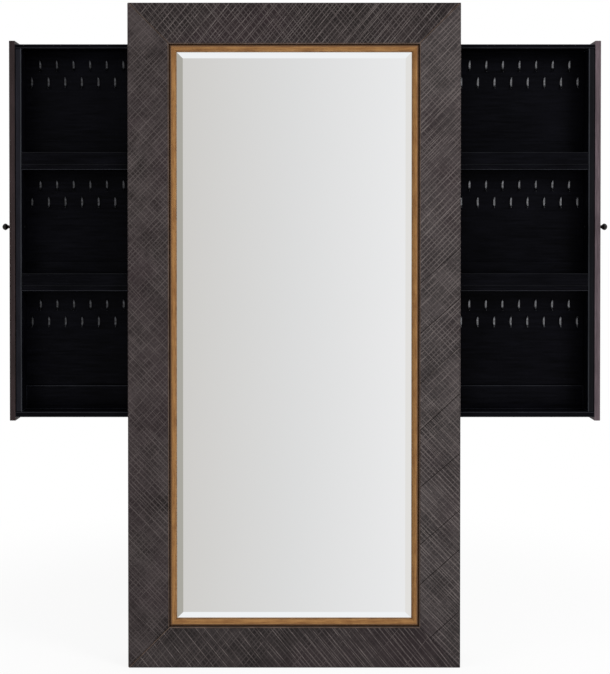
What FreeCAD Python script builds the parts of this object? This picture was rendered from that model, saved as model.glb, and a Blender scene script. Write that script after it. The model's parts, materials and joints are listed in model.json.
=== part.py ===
import FreeCAD, Part
import os
from types import SimpleNamespace

import Sketcher
from FreeCAD import Placement, Rotation, Vector

# Floor mirror with two jewellery racks that slide out sideways from behind the frame.
# Millimetres. X runs to the right, Y to the back and Z up; the origin is on the floor, at the middle of the
# mirror's width and depth. Both racks are drawn pulled out, by the two openings below.

SIZES = {
    # Outside of the mirror
    "overall_width": 1016,
    "overall_height": 2032,
    "overall_depth": 140,
    # Wide flat moulding of the frame
    "frame_face": 125.5,
    "frame_thickness": 38,
    "frame_edge_round": 3,
    # Narrow beaded trim between the frame and the mirror plate
    "trim_width": 22,
    "trim_setback": 4,
    "trim_bead": 10,
    "trim_shoulder": 3.5,
    "trim_leg": 7,
    # Mirror plate, its backing board and the strips that hold them
    "glass_thickness": 5,
    "glass_edge": 2.5,
    "glass_bevel": 30,
    "glass_cover": 10,
    "backing_thickness": 6,
    "retainer_width": 16,
    "retainer_depth": 10,
    # Case behind the frame
    "case_side_inset": 8,
    "case_top_drop": 32,
    "case_board": 18,
    "divider_board": 18,
    "partition_board": 18,
    "back_panel_thickness": 9,
    "divider_gap": 2,
    # Fascia that closes the side of the case
    "fascia_bottom": 752,
    "fascia_top_drop": 78,
    "fascia_thickness": 17.5,
    "fascia_overhang": 10.5,
    "fascia_reveal": 1.5,
    "fascia_back_gap": 0.5,
    "fascia_round": 2,
    # How far each rack is pulled out
    "left_opening": 377.5,
    "right_opening": 444,
    # Rack box
    "drawer_front_gap": 1.5,
    "drawer_rear_gap": 3.5,
    "drawer_back_thickness": 9,
    "drawer_top_board": 12,
    "drawer_bottom_board": 16,
    "outer_end_board": 20,
    "outer_end_round": 3,
    "inner_end_board": 12,
    "shelf_board": 15,
    "lower_compartment_extra": 15,
    "lip_height": 39,
    "lip_thickness": 10,
    "lip_round": 2,
    "rear_rail_height": 74,
    "rear_rail_thickness": 8,
    # Hooks on the back wall of the rack
    "hook_drop": 47,
    "hook_row_gap": 52,
    "hook_pitch": 52,
    "hook_margin": 19,
    "hook_height": 34,
    "hook_reach": 9,
    "hook_gauge": 2,
    "hook_width": 5.5,
    "hook_tip_width": 1.8,
    "hook_foot": 10,
    # Knob and its screw
    "knob_rise": 13,
    "knob_projection": 32,
    "knob_diameter": 21,
    "knob_neck": 8,
    "knob_neck_length": 17,
    "knob_head_start": 21,
    "knob_rim": 3,
    "knob_shoulder": 17,
    "knob_shoulder_drop": 3.5,
    "knob_top": 8,
    "knob_bore": 4,
    "knob_bore_depth": 16,
    "knob_screw_head": 8,
    "knob_screw_head_height": 2.4,
    "knob_screw_end_gap": 2,
    "knob_hole_clearance": 0.5,
    # Telescopic slides
    "slide_depth": 12.7,
    "slide_height": 45,
    "slide_sheet": 1.2,
    "slide_race": 3,
    "slide_running_gap": 0.4,
    "slide_lip_gap": 1.2,
    "slide_setback": 20,
    "slide_inset": 90,
    "glide_length": 180,
    "glide_gap": 0.3,
    # Wall brackets and screws
    "bracket_leg": 25,
    "bracket_sheet": 2.5,
    "bracket_width": 40,
    "bracket_spacing": 800,
    "bracket_hole": 5.5,
    "bracket_hole_rise": 15,
    "bracket_hole_reach": 14,
    "wood_screw_shank": 4,
    "wood_screw_head": 8,
    "wood_screw_head_height": 2.4,
    "wood_screw_length": 30,
    "wood_screw_spacing": 320,
}


class Size:
    """A length: its value now, and the sheet formula that gives it."""

    def __init__(self, value, formula):
        self.value = value
        self.formula = formula

    def join(self, other, sign, value):
        return Size(value, f"({self.formula} {sign} {other.formula})")

    def __add__(self, other):
        other = as_size(other)
        return self.join(other, "+", self.value + other.value)

    def __sub__(self, other):
        other = as_size(other)
        return self.join(other, "-", self.value - other.value)

    def __mul__(self, other):
        other = as_size(other)
        return self.join(other, "*", self.value * other.value)

    def __truediv__(self, other):
        other = as_size(other)
        return self.join(other, "/", self.value / other.value)

    def __neg__(self):
        return Size(-self.value, f"(0 - {self.formula})")


def as_size(number):
    return number if isinstance(number, Size) else Size(float(number), f"({number})")


doc = FreeCAD.newDocument("FloorMirror")
sheet = doc.addObject("Spreadsheet::Sheet", "Sizes")
for row, (alias, number) in enumerate(SIZES.items(), start=1):
    sheet.set(f"A{row}", alias)
    sheet.set(f"B{row}", str(number))
    sheet.setAlias(f"B{row}", alias)
doc.recompute()
size = SimpleNamespace(**{alias: Size(float(sheet.get(alias)), f"Sizes.{alias}") for alias in SIZES})

ZERO = as_size(0)
SUBPARTS = []

# Levels and planes that several pieces share
half_width = size.overall_width / 2
front = -size.overall_depth / 2
back = size.overall_depth / 2
frame_back = front + size.frame_thickness
opening_half_width = half_width - size.frame_face
opening_height = size.overall_height - size.frame_face * 2
sight_half_width = opening_half_width - size.trim_width
glass_front = front + size.trim_setback + size.trim_bead
backing_front = glass_front + size.glass_thickness
backing_back = backing_front + size.backing_thickness
mid_height = size.overall_height / 2

case_half = half_width - size.case_side_inset
case_top = size.overall_height - size.case_top_drop
case_inner_half = case_half - size.case_board
panel_front = back - size.back_panel_thickness

fascia_top = case_top - size.fascia_top_drop
fascia_front = frame_back + size.fascia_back_gap
fascia_rear = panel_front - size.fascia_back_gap
knob_depth = (fascia_front + fascia_rear) / 2
knob_level = (fascia_top + size.fascia_bottom) / 2 + size.knob_rise
box_bottom = size.fascia_bottom + size.fascia_overhang
box_top = fascia_top - size.fascia_overhang
drawer_front = frame_back + size.drawer_front_gap
drawer_back = panel_front - size.slide_depth
wall_front = drawer_back - size.drawer_back_thickness
box_length = (case_half - size.fascia_thickness) - (size.partition_board / 2 + size.drawer_rear_gap)
slide_length = box_length - size.slide_setback
slide_start = size.partition_board / 2 + size.drawer_rear_gap + size.slide_setback / 2

# Three compartments share the height between the shelves; the lowest is a little taller
clear_height = box_top - size.drawer_top_board - box_bottom - size.drawer_bottom_board - size.shelf_board * 2
compartment = (clear_height - size.lower_compartment_extra) / 3
lowest_floor = box_bottom + size.drawer_bottom_board
lower_ceiling = lowest_floor + compartment + size.lower_compartment_extra
middle_ceiling = lower_ceiling + size.shelf_board + compartment
floor_levels = [lowest_floor, lower_ceiling + size.shelf_board, middle_ceiling + size.shelf_board]
ceiling_levels = [lower_ceiling, middle_ceiling, box_top - size.drawer_top_board]
slide_levels = [box_bottom + size.slide_inset, box_top - size.slide_inset]


def bind(item, prop, length):
    """Tie a property to the sheet."""
    item.setExpression(prop, length.formula)


def keep(item, label):
    """Give a sub-part its name and list it for export."""
    item.Label = label
    SUBPARTS.append(item)
    return item


def move_to(item, x, y, z, turn=None):
    """Place a sub-part, turned first if need be, at a point given by sizes."""
    if turn is not None:
        item.Placement = Placement(Vector(), turn)
    for axis, length in zip("xyz", (x, y, z)):
        bind(item, f"Placement.Base.{axis}", length)
    return item


def across(side, near, far):
    """Low and high X of what lies between two distances from the mirror's middle, on one side."""
    return (near, far) if side > 0 else (-far, -near)


def block(name, x, y, z):
    """A rectangular board, from its low and high X, Y and Z."""
    box = doc.addObject("Part::Box", name)
    for prop, (low, high) in zip(("Length", "Width", "Height"), (x, y, z)):
        bind(box, prop, high - low)
    return move_to(box, x[0], y[0], z[0])


def board(label, x, y, z):
    return keep(block(label, x, y, z), label)


def group(label, items):
    """Several like pieces under one name."""
    compound = doc.addObject("Part::Compound", label)
    compound.Links = items
    return keep(compound, label)


def copies(label, master, points):
    """Copies of one finished piece, each moved to a point."""
    doc.recompute()
    solids = []
    for point in points:
        solid = master.Shape.copy()
        solid.translate(Vector(*(length.value for length in point)))
        solids.append(solid)
    feature = doc.addObject("Part::Feature", label)
    feature.Shape = Part.makeCompound(solids)
    feature.Placement = Placement()
    return keep(feature, label)


def new_body(name):
    return doc.addObject("PartDesign::Body", name)


def sketch_on(body, plane, name):
    """A sketch on one of the body's own origin planes."""
    sketch = body.newObject("Sketcher::SketchObject", name)
    support = next(item for item in body.Origin.OriginFeatures if item.Role == plane)
    sketch.AttachmentSupport = [(support, "")]
    sketch.MapMode = "FlatFace"
    return sketch


def pin(sketch, kind, length, *where):
    """Add a dimension to a sketch and tie it to the sheet."""
    index = sketch.addConstraint(Sketcher.Constraint(kind, *where, length.value))
    sketch.renameConstraint(index, f"size_{index}")
    sketch.setExpression(f"Constraints.size_{index}", length.formula)


def arc_between(start, end, radius):
    """An arc from start to end that swells to the right of the way it goes."""
    chord = end - start
    to_left = Vector(-chord.y, chord.x, 0).normalize()
    centre = start + chord * 0.5 + to_left * (radius**2 - chord.Length**2 / 4) ** 0.5
    return Part.Arc(start, centre - to_left * radius, end)


def outline(sketch, points, arcs=None):
    """A closed outline through points. arcs gives the radius of each round side, by its first point."""
    arcs = arcs or {}
    corners = [Vector(u.value, v.value, 0) for u, v in points]
    first = sketch.GeometryCount
    for side, start in enumerate(corners):
        end = corners[(side + 1) % len(corners)]
        if side in arcs:
            sketch.addGeometry(arc_between(start, end, arcs[side].value), False)
        else:
            sketch.addGeometry(Part.LineSegment(start, end), False)
    for side in range(len(corners)):
        after = (side + 1) % len(corners)
        sketch.addConstraint(Sketcher.Constraint("Coincident", first + side, 2, first + after, 1))
    for side, (u, v) in enumerate(points):
        pin(sketch, "DistanceX", u, -1, 1, first + side, 1)
        pin(sketch, "DistanceY", v, -1, 1, first + side, 1)
    for side, radius in arcs.items():
        pin(sketch, "Radius", radius, first + side)


def rectangle(u, v):
    """Corners of a rectangle, from its low and high places along both sketch axes."""
    return [(u[0], v[0]), (u[1], v[0]), (u[1], v[1]), (u[0], v[1])]


def circle(sketch, u, v, diameter):
    """A circle whose centre and diameter are tied to the sheet."""
    centre = Vector(u.value, v.value, 0)
    index = sketch.addGeometry(Part.Circle(centre, Vector(0, 0, 1), diameter.value / 2), False)
    pin(sketch, "DistanceX", u, -1, 1, index, 3)
    pin(sketch, "DistanceY", v, -1, 1, index, 3)
    pin(sketch, "Diameter", diameter, index)


def pad(body, sketch, length, side_type="One side", turned_round=False):
    feature = body.newObject("PartDesign::Pad", "pad")
    feature.Profile = sketch
    feature.SideType = side_type
    feature.Reversed = turned_round
    bind(feature, "Length", length)
    return feature


def cut_through(body, sketch):
    """Cut right through the body, both ways from the sketch."""
    doc.recompute()
    volume_before = body.Shape.Volume
    feature = body.newObject("PartDesign::Pocket", "cut")
    feature.Profile = sketch
    feature.Type = "ThroughAll"
    feature.SideType = "Symmetric"
    doc.recompute()
    assert body.Shape.Volume < volume_before, f"{body.Name}: the cut removed nothing"
    return feature


def fillet(body, radius, wanted):
    """Round the edges that pass a test on their two end points."""
    doc.recompute()
    tip = body.Tip
    names = []
    for number, edge in enumerate(tip.Shape.Edges, start=1):
        if len(edge.Vertexes) == 2 and all(wanted(vertex.Point) for vertex in edge.Vertexes):
            names.append(f"Edge{number}")
    feature = body.newObject("PartDesign::Fillet", "round")
    feature.Base = (tip, names)
    bind(feature, "Radius", radius)
    return feature


def turned(name, plane, axis, points):
    """A piece turned on a lathe: an outline swept right round one axis of its sketch."""
    body = new_body(name)
    profile = sketch_on(body, plane, "profile")
    outline(profile, points)
    feature = body.newObject("PartDesign::Revolution", "turn")
    feature.Profile = profile
    feature.ReferenceAxis = (profile, [axis])
    feature.Angle = 360
    return body


# Turns that lay a bar's outer edge towards each side of the mirror
UP = Rotation(Vector(0, 1, 0), 0)
RIGHT = Rotation(Vector(0, 1, 0), 90)
DOWN = Rotation(Vector(0, 1, 0), 180)
LEFT = Rotation(Vector(0, 1, 0), 270)


def mitred_bar(label, length, width, points, arcs=None):
    """A bar of one section with both ends cut at 45 degrees; its inner edge lies on the body's X axis."""
    body = keep(new_body(label), label)
    section = sketch_on(body, "YZ_Plane", "section")
    outline(section, points, arcs)
    pad(body, section, length, "Symmetric")
    mitres = sketch_on(body, "XZ_Plane", "mitres")
    end = length / 2
    outline(mitres, [(end - width, ZERO), (end, ZERO), (end, width)])
    outline(mitres, [(-end, ZERO), (width - end, ZERO), (-end, width)])
    cut_through(body, mitres)
    return body


def ring_of_bars(stem, half, height, width, plane, points, arcs=None):
    """Four mitred bars round an opening of the mirror, named by their side."""
    inner_half = half - width
    inner_rise = height / 2 - width
    places = {
        "top": (half * 2, ZERO, mid_height + inner_rise, UP),
        "bottom": (half * 2, ZERO, mid_height - inner_rise, DOWN),
        "left": (height, -inner_half, mid_height, LEFT),
        "right": (height, inner_half, mid_height, RIGHT),
    }
    for side, (length, x, z, turn) in places.items():
        bar = mitred_bar(stem.format(side), length, width, points, arcs)
        move_to(bar, x, plane, z, turn)


def frame():
    """Wide flat moulding: two rails and two stiles, with softened front edges."""
    depth = size.frame_thickness
    face = size.frame_face
    soft = size.frame_edge_round
    section = [
        (ZERO, ZERO),
        (ZERO, face),
        (soft - depth, face),
        (-depth, face - soft),
        (-depth, soft),
        (soft - depth, ZERO),
    ]
    ring_of_bars("frame_{}", half_width, size.overall_height, face, frame_back, section, {2: soft, 4: soft})


def trim():
    """Beaded bars with a leg behind, which hold the plate's edge and its backing."""
    bead_rise = size.trim_bead - size.trim_shoulder
    bead_radius = (size.trim_width * size.trim_width / 4 + bead_rise * bead_rise) / (bead_rise * 2)
    leg_depth = size.glass_thickness + size.backing_thickness
    leg_inside = size.trim_width - size.trim_leg
    section = [
        (-size.trim_shoulder, size.trim_width),
        (-size.trim_shoulder, ZERO),
        (ZERO, ZERO),
        (ZERO, leg_inside),
        (leg_depth, leg_inside),
        (leg_depth, size.trim_width),
    ]
    bead = {0: bead_radius}
    ring_of_bars("trim_{}", opening_half_width, opening_height, size.trim_width, glass_front, section, bead)


def mirror_plate():
    """Silvered plate with a wide bevel ground on its front, and the board behind it."""
    plate_half = sight_half_width + size.glass_cover
    plate_low = size.frame_face + size.trim_width - size.glass_cover
    plate_high = size.overall_height - plate_low
    bevel_start = backing_front - size.glass_edge
    flat_back = block(
        "plate_back", (-plate_half, plate_half), (bevel_start, backing_front), (plate_low, plate_high)
    )
    bevel = doc.addObject("Part::Wedge", "plate_bevel")
    # The wedge is widest at its low Y, so it is turned half round to taper towards the front
    bevel.Placement = Placement(Vector(), Rotation(Vector(0, 0, 1), 180))
    inner_half = plate_half - size.glass_bevel
    inner_low = plate_low + size.glass_bevel
    inner_high = plate_high - size.glass_bevel
    limits = {
        "Xmin": -plate_half,
        "Xmax": plate_half,
        "X2min": -inner_half,
        "X2max": inner_half,
        "Ymin": ZERO,
        "Ymax": size.glass_thickness - size.glass_edge,
        "Zmin": plate_low,
        "Zmax": plate_high,
        "Z2min": inner_low,
        "Z2max": inner_high,
    }
    for prop, length in limits.items():
        bind(bevel, prop, length)
    bind(bevel, "Placement.Base.y", bevel_start)
    plate = doc.addObject("Part::Fuse", "mirror_glass")
    plate.Base = flat_back
    plate.Tool = bevel
    plate.Refine = True
    keep(plate, "mirror_glass")
    board(
        "mirror_backing", (-plate_half, plate_half), (backing_front, backing_back), (plate_low, plate_high)
    )


def retainer_strips():
    """Strips pinned inside the frame, behind the backing board and the trim's legs."""
    depth = (backing_back, backing_back + size.retainer_depth)
    low = size.frame_face
    high = size.overall_height - size.frame_face
    inner_half = opening_half_width - size.retainer_width
    full = (-opening_half_width, opening_half_width)
    between = (low + size.retainer_width, high - size.retainer_width)
    strips = [
        block("strip_bottom", full, depth, (low, low + size.retainer_width)),
        block("strip_top", full, depth, (high - size.retainer_width, high)),
        block("strip_left", (-opening_half_width, -inner_half), depth, between),
        block("strip_right", (inner_half, opening_half_width), depth, between),
    ]
    group("retainer_strips", strips)


def case():
    """Shallow case behind the frame, open at both sides for the racks."""
    full = (-case_half, case_half)
    depth = (frame_back, panel_front)
    lower_divider_top = box_bottom - size.divider_gap
    upper_divider_low = box_top + size.divider_gap
    board("case_bottom", full, depth, (ZERO, size.case_board))
    board("case_top", full, depth, (case_top - size.case_board, case_top))
    for name, side in (("left", -1), ("right", 1)):
        wall = across(side, case_inner_half, case_half)
        lower = (size.case_board, size.fascia_bottom - size.fascia_reveal)
        upper = (fascia_top + size.fascia_reveal, case_top - size.case_board)
        board(f"case_{name}_lower_side", wall, depth, lower)
        board(f"case_{name}_upper_side", wall, depth, upper)
    inside = (-case_inner_half, case_inner_half)
    board("lower_divider", inside, depth, (lower_divider_top - size.divider_board, lower_divider_top))
    board("upper_divider", inside, depth, (upper_divider_low, upper_divider_low + size.divider_board))
    middle = (-size.partition_board / 2, size.partition_board / 2)
    board("centre_partition", middle, depth, (lower_divider_top, upper_divider_low))
    board("back_panel", full, (panel_front, back), (ZERO, case_top))


def bar_to_front(name, sides, across_corners, length):
    """A many-sided bar that starts at the origin and runs towards the front."""
    bar = doc.addObject("Part::Prism", name)
    bar.Polygon = sides
    bar.Placement = Placement(Vector(), Rotation(Vector(1, 0, 0), 90))
    bind(bar, "Circumradius", across_corners / 2)
    bind(bar, "Height", length)
    return bar


def back_panel_screws():
    """Screws with sunk heads along the back panel's edges, its dividers and its middle."""
    screw = doc.addObject("Part::Fuse", "back_panel_screw")
    screw.Base = bar_to_front("screw_head", 8, size.wood_screw_head, size.wood_screw_head_height)
    screw.Tool = bar_to_front("screw_shank", 6, size.wood_screw_shank, size.wood_screw_length)
    edge = case_half - size.case_board / 2
    half_board = size.case_board / 2
    rows = [
        half_board,
        box_bottom - size.divider_gap - size.divider_board / 2,
        box_top + size.divider_gap + size.divider_board / 2,
        case_top - half_board,
    ]
    reach = edge - size.case_board
    per_side = int(reach.value // size.wood_screw_spacing.value) + 1
    points = []
    for z in rows:
        for step in range(-per_side, per_side + 1):
            points.append((reach * (step / per_side), back, z))
    upright = size.fascia_bottom - size.case_board
    for side in (-1, 1):
        for step in (1, 2):
            points.append((edge * side, back, size.case_board + upright * (step / 3)))
    for step in (1, 2, 3):
        points.append((ZERO, back, box_bottom + (box_top - box_bottom) * (step / 4)))
    copies("back_panel_screws", screw, points)


def wall_brackets():
    """Two steel angles on the case's top, which hold the mirror to a wall against tipping."""
    leg = size.bracket_leg
    sheet_metal = size.bracket_sheet
    angle = new_body("wall_bracket")
    section = sketch_on(angle, "YZ_Plane", "section")
    outline(
        section,
        [
            (ZERO, ZERO),
            (ZERO, leg),
            (-sheet_metal, leg),
            (-sheet_metal, sheet_metal),
            (-leg, sheet_metal),
            (-leg, ZERO),
        ],
    )
    pad(angle, section, size.bracket_width, "Symmetric")
    wall_hole = sketch_on(angle, "XZ_Plane", "wall_hole")
    circle(wall_hole, ZERO, size.bracket_hole_rise, size.bracket_hole)
    cut_through(angle, wall_hole)
    case_hole = sketch_on(angle, "XY_Plane", "case_hole")
    circle(case_hole, ZERO, -size.bracket_hole_reach, size.bracket_hole)
    cut_through(angle, case_hole)
    sides = [-size.bracket_spacing / 2, size.bracket_spacing / 2]
    copies("wall_brackets", angle, [(x, back, case_top) for x in sides])

    shank = size.wood_screw_shank / 2
    head = size.wood_screw_head / 2
    screw_end = -size.wood_screw_length / 2
    screw = turned(
        "bracket_screw",
        "XZ_Plane",
        "V_Axis",
        [
            (ZERO, screw_end),
            (shank, screw_end),
            (shank, ZERO),
            (head, ZERO),
            (head, size.wood_screw_head_height),
            (ZERO, size.wood_screw_head_height),
        ],
    )
    seat = case_top + sheet_metal
    copies("wall_bracket_screws", screw, [(x, back - size.bracket_hole_reach, seat) for x in sides])


def channel(back_face, front_face, half_height, level, opens_back):
    """Outline of a rolled C channel in Y and Z: its web at one face, its flanges reaching to the other."""
    web, tip = (front_face, back_face) if opens_back else (back_face, front_face)
    inside = web + size.slide_sheet if opens_back else web - size.slide_sheet
    inner_half = half_height - size.slide_sheet
    return [
        (web, level - half_height),
        (web, level + half_height),
        (tip, level + half_height),
        (tip, level + inner_half),
        (inside, level + inner_half),
        (inside, level - inner_half),
        (tip, level - inner_half),
        (tip, level - half_height),
    ]


def slides(name, side, opening):
    """Two telescopic slides behind a rack: a fixed, a middle and an inner channel each, with nylon glides."""
    step = size.slide_sheet + size.slide_race
    fixed_half = size.slide_height / 2
    middle_half = fixed_half - step
    inner_half = middle_half - step
    middle_back = panel_front - size.slide_sheet - size.slide_running_gap
    middle_front = drawer_back + size.slide_sheet + size.slide_running_gap
    inner_back = middle_back - size.slide_sheet - size.slide_running_gap
    members = {
        "fixed": (ZERO, panel_front, drawer_back + size.slide_lip_gap, fixed_half, False),
        "middle": (opening / 2, middle_back, middle_front, middle_half, False),
        "inner": (opening, inner_back, drawer_back, inner_half, True),
    }
    for member, (shift, rear, face, half_height, opens_back) in members.items():
        label = f"{name}_slide_{member}"
        body = keep(new_body(label), label)
        section = sketch_on(body, "YZ_Plane", "section")
        for level in slide_levels:
            outline(section, channel(rear, face, half_height, level, opens_back))
        pad(body, section, slide_length)
        near = slide_start + shift
        move_to(body, across(side, near, near + slide_length)[0], ZERO, ZERO)

    near = slide_start + opening / 2
    far = near + slide_length
    thickness = size.slide_race - size.glide_gap
    middle_inside = middle_half - size.slide_sheet
    races = [
        ((middle_half, middle_half + thickness), (near, near + size.glide_length)),
        ((middle_inside - thickness, middle_inside), (far - size.glide_length, far)),
    ]
    glides = []
    for level in slide_levels:
        for up in (-1, 1):
            for edges, run in races:
                heights = [level + edge * up for edge in edges][::up]
                glides.append(block("glide", across(side, *run), (middle_front, inner_back), heights))
    group(f"{name}_slide_glides", glides)


def rack_box(name, side, far):
    """The boards of one rack, from its outer end at a distance from the mirror's middle."""
    near = far - box_length
    whole = across(side, near, far)
    depth = (drawer_front, wall_front)
    between = (box_bottom + size.drawer_bottom_board, box_top - size.drawer_top_board)
    board(f"{name}_drawer_back", whole, (wall_front, drawer_back), (box_bottom, box_top))
    board(f"{name}_drawer_top", whole, depth, (between[1], box_top))
    board(f"{name}_drawer_bottom", whole, depth, (box_bottom, between[0]))
    board(f"{name}_inner_end", across(side, near, near + size.inner_end_board), depth, between)

    outer_end = keep(new_body(f"{name}_outer_end"), f"{name}_outer_end")
    face = sketch_on(outer_end, "YZ_Plane", "face")
    outline(face, rectangle(depth, between))
    pad(outer_end, face, size.outer_end_board, turned_round=side > 0)
    inner_x = -size.outer_end_board.value * side
    front_y = drawer_front.value
    fillet(
        outer_end,
        size.outer_end_round,
        lambda point: abs(point.x - inner_x) < 1e-6 and abs(point.y - front_y) < 1e-6,
    )
    knob_hole(outer_end)
    move_to(outer_end, far * side, ZERO, ZERO)

    inside = across(side, near + size.inner_end_board, far - size.outer_end_board)
    lip_depth = (drawer_front, drawer_front + size.lip_thickness)
    for level, shelf in zip(floor_levels[1:], ("lower", "upper")):
        board(f"{name}_{shelf}_shelf", inside, depth, (level - size.shelf_board, level))
        lip(f"{name}_{shelf}_lip", inside, lip_depth, level)
    rail_depth = (wall_front - size.rear_rail_thickness, wall_front)
    rail_heights = [(level, level + size.rear_rail_height) for level in floor_levels]
    rails = [block("rear_rail", inside, rail_depth, height) for height in rail_heights]
    group(f"{name}_rear_rails", rails)


def lip(label, x, depth, level):
    """Low board along a shelf's front edge, with its top edges rounded."""
    body = keep(new_body(label), label)
    section = sketch_on(body, "YZ_Plane", "section")
    top = level + size.lip_height
    outline(section, rectangle(depth, (level, top)))
    pad(body, section, x[1] - x[0])
    fillet(body, size.lip_round, lambda point: abs(point.z - top.value) < 1e-6)
    move_to(body, x[0], ZERO, ZERO)


def knob_hole(body):
    """Clearance hole for the knob's screw."""
    hole = sketch_on(body, "YZ_Plane", "knob_hole")
    circle(hole, knob_depth, knob_level, size.knob_bore + size.knob_hole_clearance)
    cut_through(body, hole)


def fascia(name, side, face):
    """Outer board of a rack, which fills the side of the case when the rack is shut."""
    body = keep(new_body(f"{name}_fascia"), f"{name}_fascia")
    sketch = sketch_on(body, "YZ_Plane", "face")
    outline(sketch, rectangle((fascia_front, fascia_rear), (size.fascia_bottom, fascia_top)))
    pad(body, sketch, size.fascia_thickness, turned_round=side > 0)
    fillet(body, size.fascia_round, lambda point: abs(point.x) < 1e-6)
    knob_hole(body)
    move_to(body, face * side, ZERO, ZERO)


def knob(name, side, face):
    """Turned mushroom knob, and the screw that holds it from inside the rack."""
    turn = Rotation(Vector(0, 0, 1), 0 if side > 0 else 180)
    head = size.knob_diameter / 2
    rim_end = size.knob_head_start + size.knob_rim
    body = turned(
        f"{name}_knob",
        "XZ_Plane",
        "H_Axis",
        [
            (size.knob_projection, ZERO),
            (size.knob_projection, size.knob_top / 2),
            (size.knob_projection - size.knob_shoulder_drop, size.knob_shoulder / 2),
            (rim_end, head),
            (size.knob_head_start, head),
            (size.knob_neck_length, size.knob_neck / 2),
            (ZERO, size.knob_neck / 2),
            (ZERO, size.knob_bore / 2),
            (size.knob_bore_depth, size.knob_bore / 2),
            (size.knob_bore_depth, ZERO),
        ],
    )
    move_to(keep(body, f"{name}_knob"), face * side, knob_depth, knob_level, turn)

    grip = size.outer_end_board + size.fascia_thickness
    tip = grip + size.knob_bore_depth - size.knob_screw_end_gap
    screw = turned(
        f"{name}_knob_screw",
        "XZ_Plane",
        "H_Axis",
        [
            (-size.knob_screw_head_height, ZERO),
            (tip, ZERO),
            (tip, size.knob_bore / 2),
            (ZERO, size.knob_bore / 2),
            (ZERO, size.knob_screw_head / 2),
            (-size.knob_screw_head_height, size.knob_screw_head / 2),
        ],
    )
    move_to(keep(screw, f"{name}_knob_screw"), (face - grip) * side, knob_depth, knob_level, turn)


def hook_master():
    """One leaf-shaped hook: a plate flat on the wall in its middle, with both tips bent out from it."""
    half = size.hook_height / 2
    foot = size.hook_foot / 2
    tip_front = -size.hook_reach - size.hook_gauge
    body = new_body("hook")
    side_view = sketch_on(body, "YZ_Plane", "side_view")
    outline(
        side_view,
        [
            (ZERO, -foot),
            (ZERO, foot),
            (-size.hook_reach, half),
            (tip_front, half),
            (-size.hook_gauge, foot),
            (-size.hook_gauge, -foot),
            (tip_front, -half),
            (-size.hook_reach, -half),
        ],
    )
    pad(body, side_view, size.hook_width, "Symmetric")
    leaf = sketch_on(body, "XZ_Plane", "leaf")
    wide = size.hook_width / 2
    narrow = size.hook_tip_width / 2
    for x_wide, x_narrow in ((wide, narrow), (-wide, -narrow)):
        outline(leaf, [(x_wide, foot), (x_wide, half), (x_narrow, half)])
        outline(leaf, [(x_wide, -foot), (x_wide, -half), (x_narrow, -half)])
    cut_through(body, leaf)
    return body


def hooks(name, side, far, master):
    """Two staggered rows of hooks under the ceiling of each compartment."""
    inner_length = box_length - size.outer_end_board - size.inner_end_board
    wall_end = far - size.outer_end_board
    points = []
    for ceiling in ceiling_levels:
        for row, shift in ((0, size.hook_pitch / 2), (1, ZERO)):
            start = size.hook_margin + shift
            level = ceiling - size.hook_drop - size.hook_row_gap * row
            free = inner_length - size.hook_margin - start
            for step in range(int(free.value // size.hook_pitch.value) + 1):
                points.append(((wall_end - start - size.hook_pitch * step) * side, wall_front, level))
    copies(f"{name}_hooks", master, points)


def rack(name, side, opening, master):
    """One side rack with everything that slides out with it."""
    face = case_half + opening
    box_end = face - size.fascia_thickness
    slides(name, side, opening)
    rack_box(name, side, box_end)
    fascia(name, side, face)
    knob(name, side, face)
    hooks(name, side, box_end, master)


def write_parts():
    """Stop on any failed feature or bad solid, then write each sub-part to its own file."""
    doc.recompute()
    for item in doc.Objects:
        failed = [word for word in item.State if word in ("Invalid", "Error")]
        assert not failed, f"{item.Label}: {failed}"
    for item in SUBPARTS:
        assert not item.Shape.isNull() and item.Shape.isValid(), f"{item.Label}: bad shape"
        assert item.Shape.Solids, f"{item.Label}: no solid"
    os.makedirs("parts", exist_ok=True)
    for item in SUBPARTS:
        item.Shape.exportStep(f"parts/{item.Label}.step")
        print(item.Label, len(item.Shape.Solids), round(item.Shape.Volume))


frame()
trim()
mirror_plate()
retainer_strips()
case()
back_panel_screws()
wall_brackets()
hook = hook_master()
rack("left", -1, size.left_opening, hook)
rack("right", 1, size.right_opening, hook)
write_parts()
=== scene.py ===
# %% [markdown]
# # Floor mirror with two racks that slide out sideways
# The CAD model already has every board, slide and screw at its true size, so it is loaded first and never
# moved. Blender adds what CAD leaves plain: the scored face of the frame, soft board edges, leaf-shaped
# hooks, turned knobs, screw heads with a cross in them, and all the finishes. All lengths are in metres.

# %% Load the CAD model
import json
import math
import random

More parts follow.
